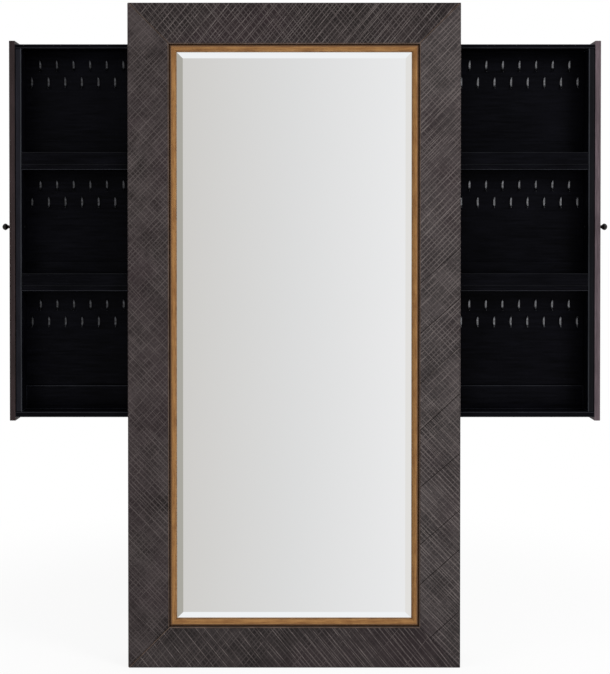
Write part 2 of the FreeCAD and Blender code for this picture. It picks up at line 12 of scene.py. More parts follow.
import bpy
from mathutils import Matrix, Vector

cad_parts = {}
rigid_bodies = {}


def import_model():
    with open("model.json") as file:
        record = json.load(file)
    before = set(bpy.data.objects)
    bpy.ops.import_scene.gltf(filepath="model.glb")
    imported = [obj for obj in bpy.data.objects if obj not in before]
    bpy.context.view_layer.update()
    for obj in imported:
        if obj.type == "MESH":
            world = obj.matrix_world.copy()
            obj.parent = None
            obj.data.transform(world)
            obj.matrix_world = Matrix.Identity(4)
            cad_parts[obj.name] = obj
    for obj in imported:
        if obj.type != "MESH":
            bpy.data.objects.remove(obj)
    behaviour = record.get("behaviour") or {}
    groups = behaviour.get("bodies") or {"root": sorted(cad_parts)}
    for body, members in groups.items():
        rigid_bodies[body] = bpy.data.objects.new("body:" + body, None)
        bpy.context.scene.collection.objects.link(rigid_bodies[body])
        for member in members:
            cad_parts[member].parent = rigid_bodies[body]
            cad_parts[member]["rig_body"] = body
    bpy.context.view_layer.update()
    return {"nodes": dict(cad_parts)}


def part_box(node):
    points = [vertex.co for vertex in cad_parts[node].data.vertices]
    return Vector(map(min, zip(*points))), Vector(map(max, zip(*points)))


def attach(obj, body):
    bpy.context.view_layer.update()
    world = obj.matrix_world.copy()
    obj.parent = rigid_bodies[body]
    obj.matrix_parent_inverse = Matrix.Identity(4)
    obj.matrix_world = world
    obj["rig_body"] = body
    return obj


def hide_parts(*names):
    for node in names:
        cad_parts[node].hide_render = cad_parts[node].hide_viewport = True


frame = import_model()

# %% [markdown]
# ## Shader maths as plain expressions
# A finish is a net of nodes: noise for grain, steps for lines, mixes for colour. Drawn by hand it is a
# page of boxes and links. One small class can stand for an output socket instead, so that `1 - lines *
# 0.4` adds the Math nodes by itself, and one method adds any other node. That keeps each finish down to a
# few lines that can be read.

# %% A wire between shader nodes
class Wire:
    """An output socket of a node tree. Arithmetic on it adds Math nodes to that tree."""

    def __init__(self, tree, socket=None):
        self.tree = tree
        self.socket = socket

    def feed(self, node, sockets):
        """Set or link the input sockets of a node."""
        for name, value in sockets.items():
            if isinstance(value, Wire):
                self.tree.links.new(value.socket, node.inputs[name])
            else:
                node.inputs[name].default_value = value

    def node(self, kind, settings, sockets, out=0):
        """Add any node: its settings come first, then the values or wires of its inputs."""
        made = self.tree.nodes.new(kind)
        for name, value in settings.items():
            setattr(made, name, value)
        self.feed(made, sockets)
        return Wire(self.tree, made.outputs[out])

    def math(self, operation, *values):
        """A Math node on numbers and wires."""
        return self.node("ShaderNodeMath", {"operation": operation}, dict(enumerate(values)))

    def __add__(self, other):
        return self.math("ADD", self, other)

    def __sub__(self, other):
        return self.math("SUBTRACT", self, other)

    def __rsub__(self, other):
        return self.math("SUBTRACT", other, self)

    def __mul__(self, other):
        return self.math("MULTIPLY", self, other)

    def __truediv__(self, other):
        return self.math("DIVIDE", self, other)

    __radd__ = __add__
    __rmul__ = __mul__

    def step(self, low, high):
        """0 below low, 1 above high and a soft step between."""
        ends = {"Value": self, "From Min": low, "From Max": high}
        return self.node("ShaderNodeMapRange", {"interpolation_type": "SMOOTHSTEP"}, ends)

    def stretched(self, scale):
        """Places with each axis multiplied: a pattern is drawn out along the axis of the least number."""
        return self.node("ShaderNodeMapping", {}, {"Vector": self, "Scale": scale})

    def noise(self, scale, detail, roughness=0.55):
        """A Noise texture at these places."""
        sockets = {"Vector": self, "Scale": scale, "Detail": detail, "Roughness": roughness}
        return self.node("ShaderNodeTexNoise", {}, sockets)

    def axes(self):
        """The X, Y and Z of a place, each as a wire of its own."""
        first = self.node("ShaderNodeSeparateXYZ", {}, {"Vector": self})
        return [Wire(self.tree, socket) for socket in first.socket.node.outputs]

    def rays(self):
        """What kind of ray asks for a point, as wires by the names of the Light Path node."""
        first = self.node("ShaderNodeLightPath", {}, {})
        return {socket.name: Wire(self.tree, socket) for socket in first.socket.node.outputs}


def mix(mask, low, high):
    """A colour from low to high as the mask goes from 0 to 1, by the colour sockets of a Mix node."""
    return mask.node("ShaderNodeMix", {"data_type": "RGBA"}, {0: mask, 6: low, 7: high}, out=2)


def linear(shade):
    """A screen value from 0 to 1 as a light value, by the sRGB curve."""
    return shade / 12.92 if shade < 0.04045 else ((shade + 0.055) / 1.055) ** 2.4


def tint(code):
    """A colour written as it looks on a screen, such as "a87238", turned into light values."""
    return (*(linear(int(code[start:start + 2], 16) / 255) for start in (0, 2, 4)), 1.0)


def new_finish(name):
    """An empty material, its shader, and a wire with the place of each point of the piece."""
    material = bpy.data.materials.new(name)
    material.use_nodes = True
    tree = material.node_tree
    place = Wire(tree).node("ShaderNodeTexCoord", {}, {}, out="Object")
    return material, tree.nodes["Principled BSDF"], place


def relief(height, depth, strength):
    """A Bump node: height from 0 to 1, drawn as a relief of that depth."""
    sockets = {"Height": height, "Distance": depth, "Strength": strength}
    return height.node("ShaderNodeBump", {}, sockets, out="Normal")


print("shader helpers ready")

# %% [markdown]
# ## Stained and raw wood
# Most boards here are wood: black racks, dark case, raw pine strips, a plywood back. All of them show
# fibres drawn out along the board and fine dark pores. One recipe with a stretched noise gives them all,
# and only colours, gloss and the way of the grain differ. The racks' edges carry painted highlights and
# the fronts of their outer ends a painted sheen, both paler shades of the same black, and the two fascias
# are one wood in a painted-shade and a painted-light tone. A painted picture of wood would need an
# image, and it would repeat on long boards.

# %% Wood grain
ALONG = {"x": (1.0, 14.0, 14.0), "z": (14.0, 14.0, 1.0)}
GRAIN_DEPTH = 0.0002
RACK_BLACK = ("020203", "0c0c11")
CASE_BROWN = ("241f1e", "3a3331")


def grained(name, dark, pale, along, roughness, gloss):
    """Wood with its grain along one axis; gloss is the strength of its plain reflection."""
    material, shader, place = new_finish(name)
    drawn_out = place.stretched(ALONG[along])
    fibres = drawn_out.noise(9.0, 6.0, 0.62)
    pores = drawn_out.noise(60.0, 3.0, 0.5).step(0.56, 0.7)
    cloud = place.noise(3.5, 3.0)
    colour = mix((fibres * 0.75 + cloud * 0.5 - 0.12).step(0.2, 0.8), tint(dark), tint(pale))
    place.feed(shader, {
        "Base Color": mix(pores * 0.45, colour, tint(dark)),
        "Roughness": fibres * 0.2 + (roughness - 0.1) + pores * 0.1,
        "Specular IOR Level": gloss,
        "Normal": relief(fibres - pores * 0.5, GRAIN_DEPTH, 0.6),
    })
    return material


rack_along = grained("rack_black_along", *RACK_BLACK, "x", 0.42, 0.025)
rack_upright = grained("rack_black_upright", *RACK_BLACK, "z", 0.42, 0.025)
# Paler blacks for the sloping faces of edges: painted highlights where a rounded edge would catch the
# light.
rack_edge_highlight = grained("rack_black_edge_painted_highlight", "15161a", "2c2d34", "x", 0.4, 0.2)
rack_faint_edge_highlight = grained("rack_black_faint_edge_painted_highlight", "0a0a0c", "191a1e", "x", 0.4, 0.1)
rack_rim_highlight = grained("rack_black_rim_painted_highlight", "191b1f", "303239", "z", 0.4, 0.3)
# The fronts of the outer ends are painted paler as a sheen, the left one more than the right.
painted_sheen_front = {
    "left": grained("rack_black_left_front_painted_sheen", "131317", "1f1f25", "z", 0.42, 0.05),
    "right": grained("rack_black_right_front_painted_sheen", "0b0b0e", "131316", "z", 0.42, 0.05),
}
case_along = grained("case_wood_along", *CASE_BROWN, "x", 0.5, 0.3)
case_upright = grained("case_wood_upright", *CASE_BROWN, "z", 0.5, 0.3)
# One wood in two tones: the left fascia is painted darker as shade, the right one paler as light from the
# right.
fascia_shaded_left = grained("fascia_wood_left_painted_shade", "1f1817", "34292a", "z", 0.5, 0.15)
fascia_lit_right = grained("fascia_wood_right_painted_light", "3c3337", "685b60", "z", 0.5, 0.15)
pine = grained("strip_wood_pine", "a8835a", "cfab7d", "z", 0.6, 0.3)
plywood = grained("back_board_plywood", "6e5439", "967650", "z", 0.55, 0.3)
hardboard = grained("backing_board_fibre", "5c4632", "735a41", "x", 0.7, 0.2)
print("wood finishes ready")

# %% [markdown]
# ## The scored wood of the frame
# The frame's face is dark charcoal brown, scored both ways with thin lines about 12 mm apart, at 50
# degrees on the rails and 46 degrees on the stiles. Each line has its own strength, and the scoring leans
# more one way on each bar. The balance also changes along a bar: the stiles go from rising lines at the
# top to falling ones at the bottom, and the rails change from left to right. `swing` says how much. The
# boldest scores are cut into the mesh further down; the fine ones between them are drawn here. A line
# family is a stripe across a slanted coordinate. The number of the stripe feeds a White Noise node, so
# that each line gets its own brightness and its own small shift.

# %% Scored wood
FINE_PITCH = 0.0118
FINE_HALF_WIDTH = 0.0018
SHARP_SHARE = 0.3
WAVER = 0.9
STRAY = 0.45
FAINTEST = 0.35
RED_STAIN = "302629"
DARK_FLECK = "151212"
WAX = "6c6462"
# The slant of the lines in degrees, and the axis and the stretch along which their balance changes.
RAIL = {"slant": 50, "axis": 0, "start": -0.35, "end": 0.35}
STILE = {"slant": 46, "axis": 2, "start": 0.6, "end": 1.5}


def scores(place, slant, seed):
    """Thin lines that rise to the right by a slant in degrees."""
    x, _, z = place.axes()
    waver = place.noise(1.7, 2.0) * WAVER
    turn = math.radians(slant)
    count = (x * math.sin(turn) - z * math.cos(turn)) / FINE_PITCH + waver + seed
    number = count.math("ROUND", count)
    chance = count.node("ShaderNodeTexWhiteNoise", {"noise_dimensions": "1D"}, {"W": number})
    gap = count.math("ABSOLUTE", count - number + (chance - 0.5) * STRAY)
    half_line = FINE_HALF_WIDTH / FINE_PITCH
    line = 1 - gap.step(SHARP_SHARE * half_line, half_line)
    return line * (chance * (1 - FAINTEST) + FAINTEST)


def scored(name, bar, rising, falling, swing, dark, pale):
    """Frame wood with fine scores: rising and falling are the strengths of the two ways of the hatch."""
    material, shader, place = new_finish(name)
    worn = place.noise(14.0, 4.0, 0.6).step(0.3, 0.62)
    change = (place.axes()[bar["axis"]].step(bar["start"], bar["end"]) - 0.5) * swing
    up = scores(place, bar["slant"], seed=3.0) * (change + rising)
    down = scores(place, -bar["slant"], seed=17.0) * (falling - change)
    lines = up.math("MAXIMUM", up, down) * (worn * 0.7 + 0.3)
    fleck = place.noise(210.0, 3.0, 0.7)
    stain = place.noise(11.0, 6.0, 0.68)
    ground = mix(stain.step(0.3, 0.72), tint(dark), tint(pale))
    ground = mix(place.noise(4.0, 2.0).step(0.45, 0.7) * 0.5, ground, tint(RED_STAIN))
    ground = mix(fleck.step(0.5, 0.75) * 0.35, ground, tint(DARK_FLECK))
    place.feed(shader, {
        "Base Color": mix(lines * 0.95, ground, tint(WAX)),
        "Roughness": stain * 0.2 + 0.42,
        "Specular IOR Level": 0.1,
        "Normal": relief(1 - lines + fleck * 0.15, 0.0004, 0.8),
    })
    return material


# Each bar has its own ground tones; the right stile's paler ground is partly painted light from the right,
# besides the key lamp's real light.
frame_finish = {
    "frame_top": scored("frame_wood_top", RAIL, 0.62, 0.58, 0.35, "1c1818", "2f2929"),
    "frame_bottom": scored("frame_wood_bottom", RAIL, 0.28, 0.58, -0.35, "1f1b1b", "393333"),
    "frame_left": scored("frame_wood_left", STILE, 0.42, 0.5, 0.15, "201b1b", "433c3c"),
    "frame_right": scored("frame_wood_right", STILE, 0.75, 0.75, 0.6, "2d2929", "464040"),
}


def waxed(name, dark, pale):
    """Two mottled tones, worn in places: pale wax in cut scores, painted shade in deep scores, painted
    light on the frame's inner edge.
    """
    material, shader, place = new_finish(name)
    worn = place.noise(30.0, 5.0, 0.65)
    place.feed(shader, {
        "Base Color": mix(worn.step(0.34, 0.66), tint(dark), tint(pale)),
        "Roughness": worn * 0.2 + 0.45,
        "Specular IOR Level": 0.1,
        "Normal": relief(worn, 0.0002, 0.5),
    })
    return material


score_pale = waxed("frame_wood_pale_score", "3f3837", WAX)
score_faint = waxed("frame_wood_faint_score", "342e2e", "544c4b")
# Painted shade: the slopes of the deep scores are painted dark.
deep_score_shade = waxed("frame_wood_deep_score_painted_shade", "181414", "2a2423")
# Painted light: the frame's rounded inner edge next to the trim is painted paler than the shade there.
inner_edge_painted_light = waxed("frame_wood_inner_edge_painted_light", "4c3f37", "61524a")
print("frame finishes ready")

# %% [markdown]
# ## Gold leaf on the trim
# The narrow bead round the plate is gilded: amber leaf over a brown ground, rubbed into streaks along
# each bar. The leaf is metal and the ground is not, so one streak mask drives colour, metal and roughness
# together. Near the frame a band of the bead is painted dark brown and not metal, as painted shade on its
# outer slope. Rails and stiles need the streaks along different axes, hence two finishes from one recipe.

# %% Gold leaf
DULL_GOLD = "7f542a"
BRIGHT_GOLD = "b0824f"
RUBBED_GOLD = "6b4220"
SHADE_BAND_BROWN = "5c4029"
# Where the band of painted shade starts and where it is full, from the trim's outline and inwards below
# zero.
SHADE_BAND_ENDS = (-0.0095, -0.006)


def gilded(name, along, middle, half):
    """Leaf with streaks along one axis; across it the trim's outline lies half a width from the middle."""
    material, shader, place = new_finish(name)
    drawn_out = place.stretched(ALONG[along])
    streak = drawn_out.noise(14.0, 5.0, 0.6)
    gold = (streak * 0.8 + place.noise(26.0, 4.0) * 0.4).step(0.38, 0.78)
    rubbing_and_highlight = drawn_out.noise(45.0, 2.0).step(0.6, 0.74)
    colour = mix(gold, tint(DULL_GOLD), tint(BRIGHT_GOLD))
    colour = mix(rubbing_and_highlight * 0.5, colour, tint(RUBBED_GOLD))
    x, _, z = place.axes()
    across = z if along == "x" else x
    # Painted shade: a dark brown band along the trim's outer slope, next to the frame.
    shade_band = (across.math("ABSOLUTE", across - middle) - half).step(*SHADE_BAND_ENDS)
    place.feed(shader, {
        "Base Color": mix(shade_band, colour, tint(SHADE_BAND_BROWN)),
        "Metallic": (gold * 0.3 + 0.45) * (1 - shade_band),
        "Roughness": 0.5 - gold * 0.12,
        "Normal": relief(streak, 0.0003, 0.5),
    })
    return material


trim_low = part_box("trim_bottom")[0].z
trim_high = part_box("trim_top")[1].z
gold_rails = gilded("trim_gold_rails", "x", (trim_low + trim_high) / 2, (trim_high - trim_low) / 2)
gold_stiles = gilded("trim_gold_stiles", "z", 0.0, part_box("trim_right")[1].x)
print("gold finishes ready")

# %% [markdown]
# ## Mirror, metals and nylon
# Silvered glass is as good as a flat metal mirror, so it gets full metal and almost no roughness, with a
# breath of uneven polish. Zinc, pewter and bronze are metal too, and what sets them apart is colour and
# how brushed or dull they are. The left rack's hooks are painted darker as shade and the right rack's
# paler as light. Powder coat and nylon are plastics: their sign is a fine orange-peel or a soft mottling.

# %% Smooth finishes
EVEN = (1.0, 1.0, 1.0)
BRUSHED_ALONG = (0.04, 1.0, 1.0)


def metal(name, dark, pale, roughness, metallic=1.0, stretch=EVEN, scale=60.0):
    """A metal or a plastic with a mottled or brushed surface."""
    material, shader, place = new_finish(name)
    brush = place.stretched(stretch).noise(scale, 5.0, 0.6)
    place.feed(shader, {
        "Base Color": mix(brush.step(0.3, 0.7), tint(dark), tint(pale)),
        "Metallic": metallic,
        "Roughness": brush * 0.2 + (roughness - 0.1),
        "Normal": relief(brush, 0.00008, 0.5),
    })
    return material


def silvered(name):
    """Silver behind clear glass."""
    material, shader, place = new_finish(name)
    breath = place.noise(2.5, 3.0)
    place.feed(shader, {
        "Base Color": mix(breath, tint("fcfdfd"), tint("fefefe")),
        "Metallic": 1.0,
        "Roughness": breath.step(0.45, 0.8) * 0.012,
    })
    return material


mirror = silvered("mirror_silver")
zinc = metal("slide_steel_zinc", "8d9094", "b9bcc0", 0.36, stretch=BRUSHED_ALONG, scale=300.0)
yellow_zinc = metal("screw_steel_zinc", "8f8770", "b8ad8e", 0.36)
powder_coat = metal("bracket_steel_coat", "0d0d0d", "1c1c1c", 0.5, metallic=0.0, scale=900.0)
# One pewter in two tones: painted shade on the left rack's hooks, painted light on the right rack's.
hook_lit_and_shaded = {
    "left": metal("hook_pewter_painted_shade", "363638", "58585b", 0.34, scale=240.0),
    "right": metal("hook_pewter_painted_light", "575759", "8f8f92", 0.34, scale=240.0),
}
bronze = metal("knob_bronze_dark", "0b0a09", "1c1816", 0.26, metallic=0.4, scale=120.0)
black_zinc = metal("screw_steel_black", "161617", "2a2a2c", 0.4)
nylon = metal("glide_nylon_white", "c9c6bd", "dedcd4", 0.5, metallic=0.0, scale=90.0)
print("smooth finishes ready")

# %% [markdown]
# ## Helpers for modelling by hand
# Every new piece starts from a primitive at its true size and place, is shaped in edit mode, and then
# takes over from a CAD node: it rides on the same body, is named after the node and hides it.
# Operators work on whatever is selected, so each helper clears the selection first. Faces are told apart
# by their normals: a flat one has nearly all of its normal on one axis.

# %% Start and finish a piece
# The two racks, each with the way in which it slides out along X.
SIDES = {"left": -1, "right": 1}
ACROSS = Vector((1, 0, 0))
UPWARDS = Vector((0, 0, 1))
FLAT = 0.99
BOARD_SMOOTH_ANGLE = 0.6


def pick(piece):
    """Make one piece the active one and the only one selected."""
    bpy.ops.object.select_all(action="DESELECT")
    bpy.context.view_layer.objects.active = piece
    piece.select_set(True)


def cube(low, high):
    """A box between two corners, with its place in its mesh."""
    bpy.ops.object.select_all(action="DESELECT")
    middle = (Vector(low) + Vector(high)) / 2
    bpy.ops.mesh.primitive_cube_add(size=1, location=middle, scale=Vector(high) - Vector(low))
    bpy.ops.object.transform_apply(location=True, rotation=True, scale=True)
    return bpy.context.object


def edit(piece):
    """Open one piece for editing with nothing selected in it."""
    pick(piece)
    bpy.ops.object.mode_set(mode="EDIT")
    bpy.ops.mesh.select_all(action="DESELECT")


def close():
    """Go back from editing to whole objects."""
    bpy.ops.object.mode_set(mode="OBJECT")


def edit_faces(piece, wanted):
    """Open one piece for editing with only the faces selected that pass a test."""
    edit(piece)
    close()
    for face in piece.data.polygons:
        face.select = wanted(face)
    bpy.ops.object.mode_set(mode="EDIT")
    bpy.ops.mesh.select_mode(type="FACE")


def soften(piece, radius, segments=2):
    """Round every edge of a piece."""
    edit(piece)
    bpy.ops.mesh.select_all(action="SELECT")
    bpy.ops.mesh.bevel(offset=radius, segments=segments, affect="EDGES")
    close()
    bpy.ops.object.shade_smooth_by_angle(angle=BOARD_SMOOTH_ANGLE)


def join(pieces):
    """Several meshes as one piece, the first of them."""
    pick(pieces[0])
    for piece in pieces:
        piece.select_set(True)
    if len(pieces) > 1:
        bpy.ops.object.join()
    return pieces[0]


def copy_to(piece, shift):
    """A copy with a mesh of its own, moved, with its place in its mesh."""
    pick(piece)
    bpy.ops.object.duplicate()
    copy = bpy.context.object
    copy.location = shift
    bpy.ops.object.transform_apply(location=True, rotation=False, scale=False)
    return copy


def take_over(piece, node, finish):
    """The piece stands in for a CAD node: same body, its own finish, and the node hidden."""
    piece.name = f"{node}_look"
    piece.data.materials.clear()
    piece.data.materials.append(finish)
    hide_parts(node)
    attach(piece, frame["nodes"][node]["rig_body"])


def finish_faces(piece, finish, wanted):
    """One more finish on a piece, for the faces that pass a test."""
    piece.data.materials.append(finish)
    for face in piece.data.polygons:
        if wanted(face):
            face.material_index = len(piece.data.materials) - 1


def highlight_edges(piece, finish, facing=None, ceiling=math.inf):
    """A painted highlight for the sloping faces of a softened board: all, those that face one way, or the
    low ones.
    """
    def rubbing_and_highlight(face):
        sloping = max(map(abs, face.normal)) < FLAT
        return sloping and face.center.z < ceiling and (facing is None or face.normal.dot(facing) > 0)

    finish_faces(piece, finish, rubbing_and_highlight)


def paint(node, finish):
    """A CAD node that keeps its shape gets a better finish."""
    materials = frame["nodes"][node].data.materials
    materials.clear()
    materials.append(finish)


print("modelling helpers ready")

# %% [markdown]
# ## Boards with softened edges
# Sawn and sanded boards never have a razor edge: a small radius catches the light as a thin pale line,
# and shows where two boards meet. A shader can fake that, but it would be lost from close up, so each
# board is a box with its edges bevelled by a millimetre or a little more. The racks' edges also carry a
# painted highlight, a paler black on their sloping faces: strongest on the inner edges of the outer ends,
# less on the other boards and faintest on the lips. On the shelves only the lower edges get it, and the
# fronts of the outer ends are painted paler as a sheen, more on the left rack than on the right.

# %% Rack and case boards
SANDED = 0.001
RUBBED = 0.0015
ROUNDED = 0.003
RACK_SEGMENTS = 3
RACK_BOARDS = {
    "drawer_back": rack_along, "drawer_top": rack_along, "drawer_bottom": rack_along,
    "inner_end": rack_upright, "outer_end": rack_upright,
    "lower_shelf": rack_along, "upper_shelf": rack_along, "lower_lip": rack_along, "upper_lip": rack_along,
}
CASE_BOARDS = {
    "case_bottom": case_along, "case_top": case_along,
    "lower_divider": case_along, "upper_divider": case_along,
    "case_left_lower_side": case_upright, "case_left_upper_side": case_upright,
    "case_right_lower_side": case_upright, "case_right_upper_side": case_upright,
    "centre_partition": case_upright,
}
for side, sign in SIDES.items():
    # Which painted highlight each board's edges get, and which way the highlighted faces look.
    edge_highlights = {
        "outer_end": (rack_rim_highlight, -sign * ACROSS),
        "lower_shelf": (rack_edge_highlight, -UPWARDS), "upper_shelf": (rack_edge_highlight, -UPWARDS),
        "lower_lip": (rack_faint_edge_highlight, None), "upper_lip": (rack_faint_edge_highlight, None),
    }
    for name, finish in RACK_BOARDS.items():
        board = cube(*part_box(f"{side}_{name}"))
        soften(board, ROUNDED if name == "outer_end" else RUBBED, RACK_SEGMENTS)
        take_over(board, f"{side}_{name}", finish)
        highlight_edges(board, *edge_highlights.get(name, (rack_edge_highlight, None)))
        # The outer end's front gets its painted sheen.
        if name == "outer_end":
            finish_faces(board, painted_sheen_front[side], lambda face: face.normal.y < -FLAT)
for node, finish in CASE_BOARDS.items():
    board = cube(*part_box(node))
    soften(board, SANDED)
    take_over(board, node, finish)
print("boards:", len(SIDES) * len(RACK_BOARDS) + len(CASE_BOARDS))

# %% [markdown]
# At the back of each compartment a low rail stands on the floor, so that nothing slips down behind. The
# CAD node holds three of them, so three boxes are joined into one piece. The heights of the floors come
# from the boards that were just made. Only the lowest rail has a painted highlight on its edges.

# %% Rear rails
RAIL_HEIGHT = 0.074
FLOOR_BOARDS = ("drawer_bottom", "lower_shelf", "upper_shelf")
CEILING_BOARDS = ("lower_shelf", "upper_shelf", "drawer_top")
ceilings = {}
for side in SIDES:
    floors = [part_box(f"{side}_{name}")[1].z for name in FLOOR_BOARDS]
    ceilings[side] = [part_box(f"{side}_{name}")[0].z for name in CEILING_BOARDS]
    low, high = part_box(f"{side}_rear_rails")
    rails = []
    for level in floors:
        rail = cube((low.x, low.y, level), (high.x, high.y, level + RAIL_HEIGHT))
        soften(rail, RUBBED)
        rails.append(rail)
    rear_rails = join(rails)
    take_over(rear_rails, f"{side}_rear_rails", rack_along)
    # Painted highlight on the edges of the lowest rail.
    highlight_edges(rear_rails, rack_edge_highlight, ceiling=ceilings[side][0])
    print(side, "floors:", [round(level, 3) for level in floors])

# %% [markdown]
# ## Frame bars with scored faces
# The frame is four flat bars, mitred at the corners, with bold score lines cut across their faces. The
# lines could be only a bump in the shader, but they are the first thing one sees, so they are real: each
# is a V cut. A bisect of the face on both edges of the line and one along its middle gives the three
# edges, and pushing the middle one in makes the groove. Lines that cross simply cut each other. The
# slopes of the grooves are then found by their normals and get a paler finish, like wax left behind in
# the scores.

# %% Bars with mitred ends
EDGE_ROUND = 0.003
EDGE_SEGMENTS = 3
TOUCHING = 1e-5


def mitred_bar(node, inwards, ends):
    """A bar with both ends cut at 45 degrees; inwards points to the plate, ends along the bar."""
    low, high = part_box(node)
    bar = cube(low, high)
    middle = (low + high) / 2
    half = (high - low) / 2
    for end in ends:
        corner = middle + Vector(way * reach for way, reach in zip(end - inwards, half))
        edit(bar)
        bpy.ops.mesh.select_all(action="SELECT")
        bpy.ops.mesh.bisect(plane_co=corner, plane_no=end + inwards, use_fill=True, clear_outer=True)
        close()
    for edge in bar.data.edges:
        first, second = (bar.data.vertices[index].co for index in edge.vertices)
        in_front = max(first.y, second.y) < low.y + TOUCHING
        edge.select = in_front and (second - first).cross(ends[0]).length < TOUCHING
    bpy.ops.object.mode_set(mode="EDIT")
    bpy.ops.mesh.select_mode(type="EDGE")
    bpy.ops.mesh.bevel(offset=EDGE_ROUND, segments=EDGE_SEGMENTS, affect="EDGES")
    close()
    return bar


bars = {
    "frame_top": mitred_bar("frame_top", -UPWARDS, (ACROSS, -ACROSS)),
    "frame_bottom": mitred_bar("frame_bottom", UPWARDS, (ACROSS, -ACROSS)),
    "frame_left": mitred_bar("frame_left", ACROSS, (UPWARDS, -UPWARDS)),
    "frame_right": mitred_bar("frame_right", -ACROSS, (UPWARDS, -UPWARDS)),
}
print("frame bars:", {node: len(bar.data.polygons) for node, bar in bars.items()})

# %% [markdown]
# Now the scores. Each family of lines has a slant in degrees, a start and an end as shares of the bar, a
# spacing along it and a depth, and a seeded random number moves and turns each line a little, as a hand
# with a straight edge would. Most of the scores on a bar lean one way, a few cross them, and the slopes
# of some deep ones on the right stile are painted dark as shade.

# %% Cut the scores
SCORE_WIDTH = 0.002
SHALLOW = 0.0006
DEEP = 0.0014
FAMILIES = {
    "frame_top": [(50, 0.0, 1.0, 0.030, SHALLOW), (-53, 0.0, 1.0, 0.085, SHALLOW)],
    "frame_bottom": [(-51, 0.0, 1.0, 0.033, SHALLOW), (50, 0.0, 1.0, 0.12, SHALLOW)],
    "frame_left": [
        (46, 0.6, 1.0, 0.031, SHALLOW), (46, 0.3, 0.6, 0.052, SHALLOW),
        (-48, 0.35, 0.65, 0.052, SHALLOW), (-47, 0.0, 0.35, 0.028, SHALLOW),
    ],
    "frame_right": [
        (46, 0.62, 1.0, 0.030, SHALLOW), (42, 0.35, 0.62, 0.029, SHALLOW),
        (-46, 0.0, 0.4, 0.024, SHALLOW), (42, 0.03, 0.65, 0.155, DEEP),
    ],
}
STRAY_PLACE = (0.3, 0.7)
STRAY_TURN = (-1.5, 1.5)
# The order of the finishes on a bar.
SIDE, FACE, EDGE, RISING, FALLING, SHADED_SLOPE, LIT_INNER_EDGE = range(7)
# The part of a normal that points to the front is above the first for a rounded edge, and below the
# second for the slope of a groove or below the third for that of a deep one.
ROUNDED_EDGE = 0.1
GROOVE = 0.97
STEEP_GROOVE = 0.72
hand = random.Random(11)
plate_low, plate_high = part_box("mirror_glass")
plate_middle = (plate_low + plate_high) / 2


def sort_faces(bar):
    """Tell the front of a bar, its rounded edges, the one next to the plate that gets painted light, and
    its sides apart.
    """
    for face in bar.data.polygons:
        if face.normal.y < -FLAT:
            face.material_index = FACE
        elif face.normal.y < -ROUNDED_EDGE:
            towards_plate = face.normal.dot(plate_middle - face.center) > 0
            face.material_index = LIT_INNER_EDGE if towards_plate else EDGE
        else:
            face.material_index = SIDE


def cut(bar, point, across, depth):
    """One V cut on the face of a bar, through a point; across is the direction square to the line."""
    for shift in (-SCORE_WIDTH / 2, SCORE_WIDTH / 2, 0.0):
        bar.active_material_index = FACE
        bpy.ops.mesh.select_all(action="DESELECT")
        bpy.ops.object.material_slot_select()
        bpy.ops.mesh.bisect(plane_co=point + across * shift, plane_no=across)
    bpy.ops.transform.translate(value=(0, depth, 0))


def score(bar, families):
    """All the score lines of one bar, which is open for editing."""
    corners = [vertex.co for vertex in bar.data.vertices]
    low = Vector(min(corner[axis] for corner in corners) for axis in range(3))
    high = Vector(max(corner[axis] for corner in corners) for axis in range(3))
    middle = (low + high) / 2
    along = 0 if high.x - low.x > high.z - low.z else 2
    length = high[along] - low[along]
    for slant, start, end, spacing, depth in families:
        for step in range(int((end - start) * length / spacing)):
            point = middle.copy()
            point[along] = low[along] + start * length + (step + hand.uniform(*STRAY_PLACE)) * spacing
            turn = math.radians(slant + hand.uniform(*STRAY_TURN))
            cut(bar, point, Vector((math.sin(turn), 0, -math.cos(turn))), depth)


def sort_grooves(bar):
    """Tell the slopes of the rising, the falling and the deep cuts apart."""
    for face in bar.data.polygons:
        if face.material_index == FACE and face.normal.y > -GROOVE:
            if face.normal.y > -STEEP_GROOVE:
                face.material_index = SHADED_SLOPE
            else:
                face.material_index = RISING if face.normal.x * face.normal.z < 0 else FALLING


for node, bar in bars.items():
    take_over(bar, node, case_along if node in ("frame_top", "frame_bottom") else case_upright)
    rising_wax = score_pale if node in ("frame_top", "frame_right") else score_faint
    falling_wax = score_pale if node in ("frame_bottom", "frame_right") else score_faint
    face_finish = frame_finish[node]
    for finish in (face_finish, face_finish, rising_wax, falling_wax, deep_score_shade, inner_edge_painted_light):
        bar.data.materials.append(finish)
    sort_faces(bar)
    edit(bar)
    bpy.ops.mesh.select_mode(type="VERT")
    score(bar, FAMILIES[node])
    close()
    sort_grooves(bar)
    print(node, "faces:", len(bar.data.polygons))

# %% [markdown]
# ## Leaf hooks
# Small pewter leaves stand on the back wall of each compartment, in two staggered rows. Each leaf touches
# the wall in its middle and both of its tips curl out, so that a chain can hang behind either. One leaf
# is grown from a small face by extruding it along its curve, wider in the middle and narrow at the tips.
# Its stations are a height, a distance from the wall and half a width, and the lower half mirrors the
# upper one. An Array modifier repeats the leaf along a row, and the rows are copied to each ceiling.

# %% One leaf, a row, and all rows
UPPER_STATIONS = [
    (0.0025, 0.0002, 0.0027), (0.0070, 0.0014, 0.0026), (0.0115, 0.0040, 0.0021), (0.0150, 0.0068, 0.0014),
    (0.0170, 0.0090, 0.0008),
]
LEAF_STATIONS = [(-z, y, wide) for z, y, wide in reversed(UPPER_STATIONS)] + UPPER_STATIONS
LEAF_GAUGE = 0.002
LEAF_SMOOTH_ANGLE = 0.9
SLIVER = 0.0001
HOOK_PITCH = 0.052
HOOKS_IN_ROW = 8
